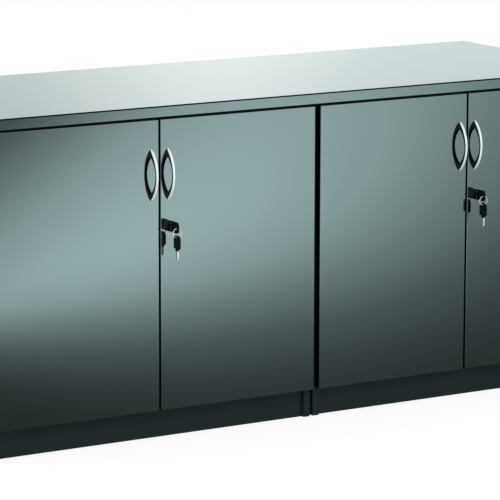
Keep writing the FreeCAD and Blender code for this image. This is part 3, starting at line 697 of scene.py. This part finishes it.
@dataclass(frozen=True)
class ScrewHead:
    """Domed screw head with a cross recess, in metres.

    Fields:
        radius, rise: the head's radius, and the height of its crown over its seat.
        recess_depth: depth of the cross at its middle.
        recess_width: half the width of one arm of the cross.
        recess_reach: share of the radius at which the cross has run out.
        crown_end: share of the radius at which the crown ends in the rim.
        rings, sides: circles of points from the middle to the rim, and points round a circle.
    """

    radius: float = 3.1 * MM
    rise: float = 1.1 * MM
    recess_depth: float = 1.0 * MM
    recess_width: float = 0.9 * MM
    recess_reach: float = 0.75
    crown_end: float = 0.99
    rings: int = 9
    sides: int = 24

    def heads(self, name: str, seats: np.ndarray, face: Face) -> bpy.types.Object:
        """Several heads as one mesh.

        Formula: with q = r / radius, height = rise * sqrt(1 - q^2) - depth * arm(x, y) *
        max(1 - q / reach, 0), where arm is the sum of e^(-(x / width)^4) and the same of y, at
        most 1. The rim's circle lies on the seat, and a last point at the middle closes the
        underside.

        Args:
            name: the object's name.
            seats: middles of the heads on their seats, shape (n, 3).
            face: the direction that the heads look in.

        Returns:
            The object.
        """
        share = np.concatenate([np.linspace(0, self.crown_end, self.rings), [1.0, 0.0]])
        angle = np.linspace(0, 2 * math.pi, self.sides, endpoint=False)
        x = self.radius * share[:, None] * np.cos(angle)
        y = self.radius * share[:, None] * np.sin(angle)
        arm = np.exp(-((x / self.recess_width) ** 4)) + np.exp(-((y / self.recess_width) ** 4))
        fade = np.clip(1 - share / self.recess_reach, 0, 1)[:, None]
        crown = self.rise * np.sqrt(1 - share[:, None] ** 2)
        height = crown - self.recess_depth * np.clip(arm, 0, 1) * fade
        height[-2:] = 0.0
        out = np.array(face.value)
        first = np.array([0.0, 0.0, 1.0]) if abs(out[2]) < 0.5 else np.array([1.0, 0.0, 0.0])
        second = np.cross(out, first)
        head = x[..., None] * first + y[..., None] * second + height[..., None] * out
        points = head[None] + seats[:, None, None, :]
        quads = grid_quads(*head.shape[:2], False, True)
        offsets = np.arange(len(seats)) * head.shape[0] * head.shape[1]
        faces = (quads[None] + offsets[:, None, None]).reshape(-1, 4)
        return mesh_object(name, points.reshape(-1, 3), faces)


@dataclass
class Boards(Assembly):
    """Worktop, cupboard boards, shelves and pegs, and the cam fittings under the rails.

    Fields:
        shade_line_drop: from the worktop's upper face down to the line above which its front edge gets
            painted shade.
        cam_inset: from a rail's end to its cam.
        rail_half_width: half the width of a rail.
        cam: the cam's face.
    """

    shade_line_drop: float = 3.0 * MM
    cam_inset: float = 34.0 * MM
    rail_half_width: float = 45.0 * MM
    cam: ScrewHead = ScrewHead(
        radius=7.5 * MM, rise=0.35 * MM, recess_depth=0.9 * MM, recess_width=1.4 * MM, sides=32
    )

    def build(self) -> None:
        """Dresses the boards and adds the cams."""
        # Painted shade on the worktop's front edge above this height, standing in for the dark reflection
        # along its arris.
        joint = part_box("worktop")[1][2] - self.shade_line_drop
        self.dress(["worktop"], replace(ARRIS_SHADED_GRAPHITE, joint=joint))
        self.dress([name for name in self.nodes if "_cupboard_" in name], SATIN_GRAPHITE)
        self.dress(["shelf_pegs", "rail_screws"], PLATED_STEEL)
        self.dress(["door_buffers"], SOFT_BUFFER)
        places = []
        for cupboard in ("left_cupboard", "right_cupboard"):
            low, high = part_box(f"{cupboard}_rails")
            places += [
                (x, y, low[2])
                for x in (low[0] + self.cam_inset, high[0] - self.cam_inset)
                for y in (low[1] + self.rail_half_width, high[1] - self.rail_half_width)
            ]
        self.add_screws(self.cam, "rail_cams", places, Face.DOWN, "carcass")


@dataclass
class Doors(Assembly):
    """Door panels and their handles."""

    def build(self) -> None:
        """Dresses the panels and handles."""
        for number in range(1, 5):
            self.dress([f"door_{number}_panel"], GLOSS_GRAPHITE)
            self.dress([f"door_{number}_handle"], SATIN_SILVER)
            self.dress([f"door_{number}_handle_screws"], PLATED_STEEL)


@dataclass
class Hinges(Assembly):
    """Concealed hinges with the screws of their cups and plates.

    Fields:
        ear_half_length: from a cup's middle to the end of an ear.
        ear_inset: from the cup's rim farthest from the door's hinge edge to the ear screws.
        ear_spacing, plate_spacing: between the two screws of a cup's ears and of a plate.
        plate_thickness: the plate's base.
        plate_inset: from the front edges of the boards to the plates' screws.
        screw: the screw head.
    """

    ear_half_length: float = 29.0 * MM
    ear_inset: float = 8.0 * MM
    ear_spacing: float = 45.0 * MM
    plate_spacing: float = 32.0 * MM
    plate_thickness: float = 2.0 * MM
    plate_inset: float = 37.0 * MM
    screw: ScrewHead = ScrewHead()

    def build(self) -> None:
        """Dresses the hinges and adds their screws."""
        self.dress(["hinge_plates", "hinge_arms", "hinge_pins"], PLATED_STEEL)
        for number in range(1, 5):
            node = f"door_{number}_hinge_cups"
            self.dress([node], PLATED_STEEL)
            low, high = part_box(node)
            ear_x = high[0] - self.ear_inset if number in (1, 3) else low[0] + self.ear_inset
            places = [
                (ear_x, high[1], z + sign * self.ear_spacing / 2)
                for z in self._heights(number)
                for sign in (-1, 1)
            ]
            self.add_screws(self.screw, f"door_{number}_cup_screws", places, Face.BACK, f"door_{number}")
        for side, face, doors in (("left_side", Face.RIGHT, (1, 3)), ("right_side", Face.LEFT, (2, 4))):
            places = []
            for cupboard, number in zip(("left_cupboard", "right_cupboard"), doors):
                low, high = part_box(f"{cupboard}_{side}")
                board = high[0] if face is Face.RIGHT else low[0]
                base = board + face.value[0] * self.plate_thickness
                places += [
                    (base, low[1] + self.plate_inset, z + sign * self.plate_spacing / 2)
                    for z in self._heights(number)
                    for sign in (-1, 1)
                ]
            self.add_screws(self.screw, f"plate_screws_{side}", places, face, "carcass")

    def _heights(self, number: int) -> tuple[float, float]:
        """Heights of the middles of a door's two cups."""
        low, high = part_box(f"door_{number}_hinge_cups")
        return low[2] + self.ear_half_length, high[2] - self.ear_half_length


@dataclass
class Bolts(Assembly):
    """Slide bolts, their cases and strikes, with screws.

    Fields:
        screw_spacing: between the two screws across a plate.
        case_thickness: the case's back plate.
        case_end: from an end of the case to its screws.
        strike_end: from the back edge of a strike to its screws.
        screw: the screw head.
    """

    screw_spacing: float = 16.0 * MM
    case_thickness: float = 1.5 * MM
    case_end: float = 6.0 * MM
    strike_end: float = 6.5 * MM
    screw: ScrewHead = ScrewHead(radius=2.3 * MM, rise=0.8 * MM)

    def build(self) -> None:
        """Dresses the bolts, and adds the screws of their cases and strikes."""
        self.dress(["bolt_strikes"], PLATED_STEEL)
        middles = []
        for number in (1, 3):
            self.dress([f"door_{number}_bolt_case", f"door_{number}_bolt"], PLATED_STEEL)
            low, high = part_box(f"door_{number}_bolt_case")
            middle = (low[0] + high[0]) / 2
            middles.append(middle)
            places = [
                (middle + sign * self.screw_spacing / 2, low[1] + self.case_thickness, z)
                for sign in (-1, 1)
                for z in (low[2] + self.case_end, high[2] - self.case_end)
            ]
            self.add_screws(self.screw, f"door_{number}_bolt_screws", places, Face.BACK, f"door_{number}")
        low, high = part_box("bolt_strikes")
        places = [
            (middle + sign * self.screw_spacing / 2, high[1] - self.strike_end, low[2])
            for middle in middles
            for sign in (-1, 1)
        ]
        self.add_screws(self.screw, "strike_screws", places, Face.DOWN, "carcass")


@dataclass
class Locks(Assembly):
    """Locks with a collar round the rim, their keys, and split rings in place of the plain rings.

    Fields:
        collar_radius, collar_mouth: the collar's radius on the door, and that of its mouth.
        collar_reach: how far the collar stands before the rim.
        collar_sides: points round the collar.
        collar_play, collar_gap: between the collar and the rim, at its side and before it.
        collar_edge: size of the collar's rounded edges.
        wire_radius: half the wire of a split ring.
        turns: turns of the wire.
        step: between the middles of two turns.
        crossing: how short the wire's crossing from one turn to the next is.
        start_angle: where on the circle the wire begins.
        points_per_turn, sides: points along the wire in a turn, and round it.
    """

    collar_radius: float = 12.0 * MM
    collar_mouth: float = 8.6 * MM
    collar_reach: float = 3.2 * MM
    collar_sides: int = 64
    collar_play: float = 0.05 * MM
    collar_gap: float = 0.1 * MM
    collar_edge: float = 0.3 * MM
    wire_radius: float = 0.5 * MM
    turns: float = 2.0
    step: float = 1.02 * MM
    crossing: float = 9.0
    start_angle: float = 0.72 * math.pi
    points_per_turn: int = 64
    sides: int = 10

    def build(self) -> None:
        """Dresses the locks and their keys, and builds the collars and split rings."""
        for number in (2, 4):
            self.dress([f"door_{number}_lock_case"], BLACK_NICKEL)
            self.dress([f"door_{number}_lock_plug"], SMOKED_NICKEL)
            self.dress([f"door_{number}_{part}" for part in ("lock_nut", "lock_cam")], BRIGHT_NICKEL)
            self.dress([f"door_{number}_{part}" for part in ("key_blade", "spare_key_blade")], KEY_NICKEL)
            self.dress([f"door_{number}_{part}" for part in ("key_head", "spare_key_head")], BLACK_MOULDING)
            self._collar(number)
            self._ring(number)

    def _collar(self, number: int) -> None:
        """Round collar over the lock's rim.

        Formula: a closed outline of (radius, depth) points is turned about the lock's axis. It
        follows the rim outside, steps in before it, and tapers to a rounded mouth.

        Args:
            number: the door's number.
        """
        low, high = (np.array(corner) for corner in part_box(f"door_{number}_lock_case"))
        centre = (low + high) / 2
        door_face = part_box(f"door_{number}_panel")[0][1]
        rim = (high[0] - low[0]) / 2 + self.collar_play
        ledge = low[1] - self.collar_gap
        front = ledge - self.collar_reach
        outer, mouth, edge = self.collar_radius, self.collar_mouth, self.collar_edge
        outline = np.array(
            [
                (rim, door_face),
                (outer - edge, door_face),
                (outer, door_face - edge),
                (outer - 2 * edge, front + 2 * edge),
                (outer - 3 * edge, front + edge),
                (outer - 5 * edge, front),
                (mouth + edge, front),
                (mouth, front + edge),
                (mouth, ledge - edge),
                (mouth + edge, ledge),
                (rim - edge, ledge),
                (rim, ledge + edge),
            ]
        )
        angle = np.linspace(0, 2 * math.pi, self.collar_sides, endpoint=False)[:, None]
        radius, depth = outline.T
        x = centre[0] + radius * np.cos(angle)
        z = centre[2] + radius * np.sin(angle)
        skin = np.stack([x, np.broadcast_to(depth, x.shape), z], axis=-1)
        quads = grid_quads(*skin.shape[:2], True, True)
        collar = mesh_object(f"door_{number}_lock_collar", skin.reshape(-1, 3), quads)
        self.finish_piece(collar, BLACK_NICKEL, f"door_{number}")

    def _ring(self, number: int) -> None:
        """Split ring of two close turns.

        Formula: the wire's centre goes round the plain ring's centre circle, and stands sideways
        by step / 2 * tanh((turn - turns / 2) * crossing), so each turn lies flat and the wire
        crosses over half-way along.

        Args:
            number: the door's number.
        """
        node = f"door_{number}_key_ring"
        low, high = (np.array(corner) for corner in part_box(node))
        centre = (low + high) / 2
        wire = (high[1] - low[1]) / 2
        radius = (high[0] - low[0]) / 2 - wire
        turn = np.linspace(0, self.turns, int(self.turns * self.points_per_turn))
        angle = 2 * math.pi * turn + self.start_angle
        sideways = self.step / 2 * np.tanh((turn - self.turns / 2) * self.crossing)
        path = centre + np.stack([radius * np.cos(angle), sideways, radius * np.sin(angle)], axis=1)
        skin = tube(path, self.wire_radius, self.sides)
        quads = grid_quads(skin.shape[0], skin.shape[1], False, True)
        ring = mesh_object(f"door_{number}_split_ring", skin.reshape(-1, 3), quads)
        self.finish_piece(ring, RING_NICKEL, f"door_{number}_ring")
        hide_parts(node)


# ---- studio ----


@dataclass(frozen=True)
class LightPool:
    """Brightness of the floor as gloss shows it: a lit patch on each side in front.

    Formula: with x across and f forward from the object, one patch is max(1 + fading * x, 0)
    times three logistic rises, 1 / (1 + e^(-number / width)), past its near, left and right
    lines. Left of the line x = held_slope * f + held_start it keeps the level that it has there.
    The floor takes the brighter of the patch and its mirror image, which ends at x = mirror, and
    goes to a middle level far off.

    Fields:
        least, gain: brightness of the dark floor, and what full light adds.
        far_level, far: brightness far off, and where it takes over.
        held_slope, held_start: the line left of which a patch keeps its level.
        near, near_width, least_width: where a patch begins, and the width of that rise.
        left, right: numbers that are 0 on its side lines and grow inwards.
        left_width, right_width: widths of the rises past them.
        fading: change of its level in a metre across.
        mirror, mirror_width: where the mirrored patch ends, and the width of that end.
    """

    least: float = 0.033
    gain: float = 1.322
    far_level: float = 0.6
    far: Band = Band(8.0, 2.0)
    held_slope: float = 0.5
    held_start: float = -0.95
    near: float = 1.507
    near_width: Line = Line(0.234, -0.192, 0.499)
    least_width: float = 0.05
    left: Line = Line(1.0, -0.769, 1.666)
    left_width: float = 0.238
    right: Line = Line(-1.0, 0.863, -0.274)
    right_width: float = 0.401
    fading: float = -0.103
    mirror: float = -0.55
    mirror_width: float = 0.15

    def level(self, tree: Tree) -> Socket:
        """Brightness at each place of the floor, in the floor material's tree."""
        place = tree.add("SeparateXYZ", {0: tree.add("NewGeometry").outputs["Position"]}).outputs
        forward = tree.math("MULTIPLY", place["Y"], -1.0)
        held = tree.math("MULTIPLY_ADD", forward, self.held_slope, self.held_start)
        patches = [
            self._patch(tree, tree.math("MAXIMUM", tree.math("MULTIPLY", place["X"], side), held), forward)
            for side in (1.0, -1.0)
        ]
        mirrored = tree.math("MULTIPLY_ADD", place["X"], -1.0, self.mirror)
        patches[1] = tree.math("MULTIPLY", patches[1], tree.logistic(mirrored, self.mirror_width))
        lit = tree.math("MULTIPLY_ADD", tree.math("MAXIMUM", *patches), self.gain, self.least)
        distant = tree.math("SUBTRACT", self.far_level, lit)
        return tree.math("MULTIPLY_ADD", self.far.rise(tree, forward), distant, lit)

    def _patch(self, tree: Tree, across: Any, forward: Any) -> Socket:
        """One patch's level at a place."""
        width = tree.math("MAXIMUM", self.near_width.value(tree, across, forward), self.least_width)
        near = tree.logistic(tree.math("SUBTRACT", forward, self.near), width)
        left = tree.logistic(self.left.value(tree, across, forward), self.left_width)
        right = tree.logistic(self.right.value(tree, across, forward), self.right_width)
        fading = tree.math("MAXIMUM", tree.math("MULTIPLY_ADD", across, self.fading, 1.0), 0.0)
        first = tree.math("MULTIPLY", near, left)
        return tree.math("MULTIPLY", first, tree.math("MULTIPLY", right, fading))


@dataclass(frozen=True)
class GlossSky:
    """Surroundings as gloss shows them: a soft bright patch behind the object, a dark ceiling.

    Formula: with h the heading in degrees from +Y towards +X and u the upward part of the
    direction, the level is base + side_gain * rise(h through side) * fall(h through side_end) +
    bell_gain * bell, where bell = e^(-((h - bell_heading) / bell_width)^2). It is multiplied by
    a number that goes from below to above as u goes through the horizon, and by
    1 - ceiling_shade * rise(u through ceiling). The red is least_red + red_gain * bell.

    Fields:
        base: level away from the bright side and the patch.
        side, side_end, side_gain: headings where the brighter side begins and ends, and its gain.
        bell_heading, bell_width, bell_gain: the patch's heading, width and gain.
        horizon, below, above: upward parts where the level changes, and what multiplies it.
        ceiling, ceiling_shade: where it darkens overhead, and by how much.
        least_red, red_gain, blue: red without the patch, what the patch adds, and blue.
    """

    base: float = 0.832
    side: Band = Band(29.5, 5.0)
    side_end: Band = Band(115.0, 35.0)
    side_gain: float = 0.125
    bell_heading: float = 30.4
    bell_width: float = 2.4
    bell_gain: float = 0.27
    horizon: tuple[float, float] = (0.12, 0.15)
    below: float = 1.08
    above: float = 0.914
    ceiling: Band = Band(0.45, 0.2)
    ceiling_shade: float = 0.75
    least_red: float = 0.94
    red_gain: float = 0.06
    blue: float = 0.99

    def shader(self, tree: Tree) -> Socket:
        """The surroundings' shader, in the world's tree."""
        way = tree.add("SeparateXYZ", {0: tree.add("TexCoord").outputs["Generated"]}).outputs
        heading = tree.math("MULTIPLY", tree.math("ARCTAN2", way["X"], way["Y"]), 180 / math.pi)
        side = tree.math("MULTIPLY", self.side.rise(tree, heading), self.side_end.fall(tree, heading))
        offset = tree.math("DIVIDE", tree.math("SUBTRACT", heading, self.bell_heading), self.bell_width)
        square = tree.math("MULTIPLY", offset, offset)
        bell = tree.math("POWER", math.e, tree.math("MULTIPLY", square, -1.0))
        level = tree.math("MULTIPLY_ADD", side, self.side_gain, self.base)
        level = tree.math("MULTIPLY_ADD", bell, self.bell_gain, level)
        start, end = self.horizon
        ends = {"From Min": start, "From Max": end, "To Min": self.below, "To Max": self.above}
        low = tree.add("MapRange", {"Value": way["Z"], **ends}).outputs["Result"]
        level = tree.math("MULTIPLY", level, low)
        high = self.ceiling.rise(tree, way["Z"])
        level = tree.math("MULTIPLY", level, tree.math("MULTIPLY_ADD", high, -self.ceiling_shade, 1.0))
        red = tree.math("MULTIPLY_ADD", bell, self.red_gain, self.least_red)
        tint = tree.add("CombineColor", {"Red": red, "Green": 1.0, "Blue": self.blue}).outputs["Color"]
        return tree.light("Background", level, tint)


@dataclass(frozen=True)
class Lamp:
    """Large soft lamp that only lights, with no image of itself in gloss.

    Fields:
        name, place: its name, and where it stands, in metres.
        size, power: side of its square in metres, and its power in watts.
        aim: the point that it looks at.
    """

    name: str
    place: tuple[float, float, float]
    size: float
    power: float
    aim: tuple[float, float, float] = (0.0, 0.0, 0.35)

    def build(self) -> None:
        """Puts the lamp into the scene."""
        data = bpy.data.lights.new(self.name, "AREA")
        data.size = self.size
        data.energy = self.power
        lamp = bpy.data.objects.new(self.name, data)
        back = Vector(self.place) - Vector(self.aim)
        lamp.matrix_world = Matrix.Translation(self.place) @ back.to_track_quat("Z", "Y").to_matrix().to_4x4()
        lamp.visible_glossy = False
        bpy.context.scene.collection.objects.link(lamp)


@dataclass
class Studio:
    """Floor, sky, lamps and camera.

    Fields:
        camera_place, view_reach: the camera's place, and how far it sees, in metres.
        yaw, pitch, roll: its heading from +Y towards +X, its tilt down and its roll, in degrees.
        focal_px: focal length in pixels of a 500-pixel frame.
        floor_half: half the floor's width in metres.
        floor_grey, floor_glow: share of light that the floor gives back, and its own for the camera.
        floor_shade: share of what the camera sees of the floor that takes shadows.
        soft_level: brightness of the surroundings for matt surfaces.
        pool, sky: the floor and the surroundings as gloss shows them.
        lamps: the lamps.
    """

    camera_place: tuple[float, float, float] = (-3.7561, -6.20725, 1.7099)
    yaw: float = 31.15
    pitch: float = 10.75
    roll: float = 0.13
    focal_px: float = 3260.7
    view_reach: float = 200.0
    floor_half: float = 30.0
    floor_grey: float = 0.92
    floor_glow: float = 1.05
    floor_shade: float = 0.22
    soft_level: float = 0.85
    pool: LightPool = LightPool()
    sky: GlossSky = GlossSky()
    lamps: tuple[Lamp, ...] = (
        Lamp("key_lamp", (-2.6, -3.4, 3.6), size=2.6, power=90.0),
        Lamp("fill_lamp", (3.2, -2.8, 2.6), size=2.4, power=35.0),
    )

    def build(self) -> None:
        """Makes the camera, floor, world and lamps."""
        self._camera()
        self._floor()
        self._world()
        for lamp in self.lamps:
            lamp.build()
        bpy.context.scene.view_settings.view_transform = "Standard"

    def _camera(self) -> None:
        """Camera from its heading, tilt and roll."""
        yaw, pitch, roll = (math.radians(angle) for angle in (self.yaw, self.pitch, self.roll))
        forward = Vector((math.sin(yaw) * math.cos(pitch), math.cos(yaw) * math.cos(pitch), -math.sin(pitch)))
        level = Vector((math.cos(yaw), -math.sin(yaw), 0.0))
        upright = level.cross(forward)
        right = math.cos(roll) * level + math.sin(roll) * upright
        up = -math.sin(roll) * level + math.cos(roll) * upright
        data = bpy.data.cameras.new("camera")
        data.sensor_width = SENSOR_WIDTH_MM
        data.lens = self.focal_px * SENSOR_WIDTH_MM / FRAME_WIDTH_PX
        data.clip_end = self.view_reach
        camera = bpy.data.objects.new("camera", data)
        turned = Matrix((right, up, -forward)).transposed().to_4x4()
        camera.matrix_world = Matrix.Translation(self.camera_place) @ turned
        bpy.context.scene.collection.objects.link(camera)
        bpy.context.scene.camera = camera

    def _floor(self) -> None:
        """Pale floor with a light shadow; gloss shows it dark near the object and lit further off."""
        half = self.floor_half
        across, along = np.meshgrid([-half, half], [-half, half], indexing="ij")
        corners = np.stack([across, along, np.zeros_like(across)], axis=-1).reshape(-1, 3)
        floor = mesh_object("floor", corners, grid_quads(2, 2, False, False), solid=False)
        material = bpy.data.materials.new("floor")
        tree = blank_tree(material)
        gloss = tree.light("Emission", self.pool.level(tree))
        matt = tree.add("BsdfDiffuse", {"Color": (*(self.floor_grey,) * 3, 1.0)}).outputs[0]
        glow = tree.light("Emission", self.floor_glow)
        shadowed = tree.add("MixShader", {0: self.floor_shade, 1: glow, 2: matt}).outputs[0]
        tree.add("OutputMaterial", {"Surface": tree.by_ray(matt, gloss, shadowed)})
        material.cycles.emission_sampling = "NONE"
        floor.data.materials.append(material)

    def _world(self) -> None:
        """White surroundings for the camera, plain light for matt surfaces, and the gloss sky."""
        world = bpy.data.worlds.new("studio")
        bpy.context.scene.world = world
        tree = blank_tree(world)
        plain = tree.light("Background", self.soft_level)
        white = tree.light("Background", 1.0)
        tree.add("OutputWorld", {"Surface": tree.by_ray(plain, self.sky.shader(tree), white)})


def main() -> None:
    """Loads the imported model, builds the studio and dresses every sub-assembly."""
    logging.basicConfig(level=logging.INFO, format="%(name)s: %(message)s")
    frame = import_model()
    Studio().build()
    paints = PaintShop(Effects())
    for assembly in (Boards, Doors, Hinges, Bolts, Locks):
        assembly(frame["nodes"], paints).build()
        log.info("%s done", assembly.__name__)


if __name__ == "__main__":
    main()
